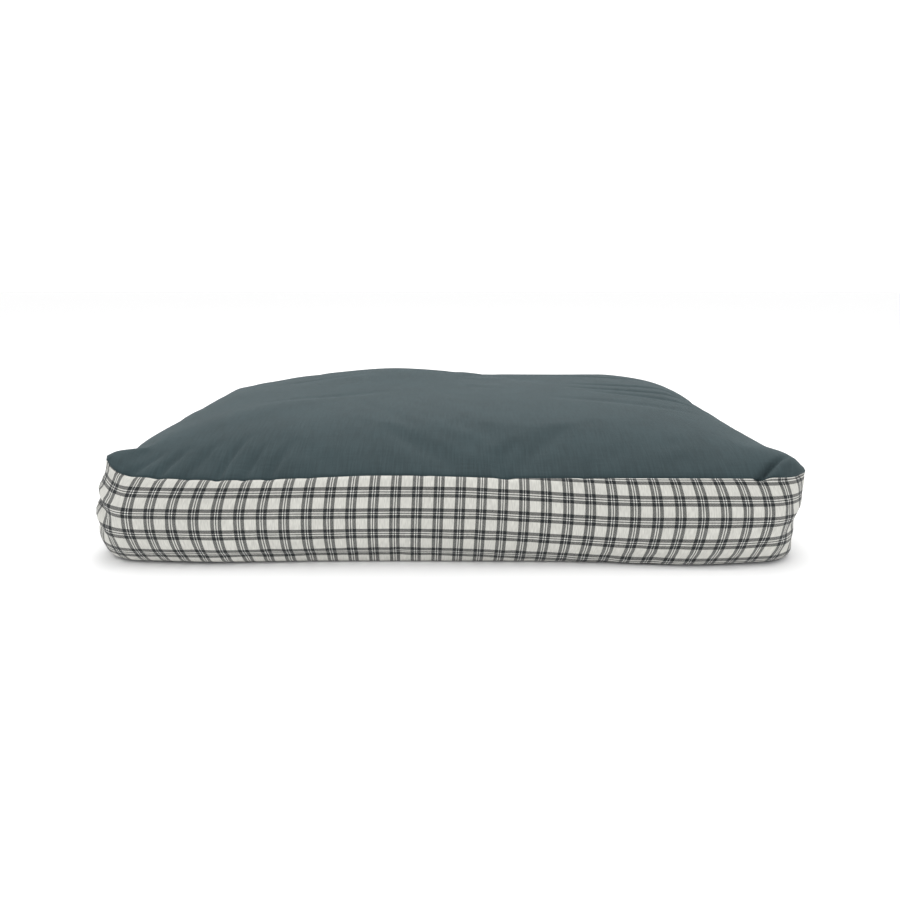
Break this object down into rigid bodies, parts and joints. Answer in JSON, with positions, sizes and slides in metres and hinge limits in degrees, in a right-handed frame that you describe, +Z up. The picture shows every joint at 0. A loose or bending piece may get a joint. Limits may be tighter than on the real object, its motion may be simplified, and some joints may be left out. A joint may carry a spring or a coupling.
{
  "type": "pet cushion bed",
  "caption": "rectangular pet cushion bed with a domed canvas top, yarn-dyed check walls, dark underside and a zip along the back",
  "frame": {"origin": "middle of the underside, on the floor that the bed lies on", "axes": "+Z up, +X along the length, front wall towards -Y, zip wall towards +Y"},
  "size_m": [0.934, 0.7101, 0.162],
  "materials": {
    "slate_canvas": "matt canvas weave",
    "checked_cloth": "matt yarn-dyed check",
    "base_cloth": "matt canvas weave",
    "grey_thread": "matt",
    "zip_tape": "matt woven tape",
    "nylon_coil": "satin",
    "zip_metal": "satin",
    "slider_metal": "satin dark nickel",
    "liner_cloth": "matt plain weave",
    "polyester_fibre": "soft white fibre"
  },
  "bodies": {
    "cushion": {"bottom_panel": "base_cloth", "top_panel": "slate_canvas", "front_boxing": "checked_cloth", "right_boxing": "checked_cloth", "left_boxing": "checked_cloth", "back_boxing_upper": "checked_cloth", "back_boxing_lower": "checked_cloth", "top_seam_thread": "grey_thread", "bottom_seam_thread": "grey_thread", "boxing_join_threads": "grey_thread", "zip_stitch_upper": "grey_thread", "zip_stitch_lower": "grey_thread", "zip_tape_upper": "zip_tape", "zip_coil_upper": "nylon_coil", "zip_tape_lower": "zip_tape", "zip_coil_lower": "nylon_coil", "zip_top_stops": "zip_metal", "zip_bottom_stop": "zip_metal", "liner_bottom": "liner_cloth", "liner_top": "liner_cloth", "liner_boxing": "liner_cloth", "liner_closing_stitch": "grey_thread", "fibre_fill": "polyester_fibre"},
    "slider": {"slider_body": "slider_metal", "slider_bail": "slider_metal"},
    "pull": {"pull_tab": "slider_metal"}
  },
  "joints": [
    {"name": "zip_travel", "type": "slide", "parent": "cushion", "child": "slider", "axis": [-1, 0, 0], "range_m": [0, 0.738]},
    {"name": "pull_pivot", "type": "hinge", "parent": "slider", "child": "pull", "pos_m": [0.369, 0.3552, 0.058], "axis": [0, 0, -1], "range_deg": [0, 180]}
  ]
}
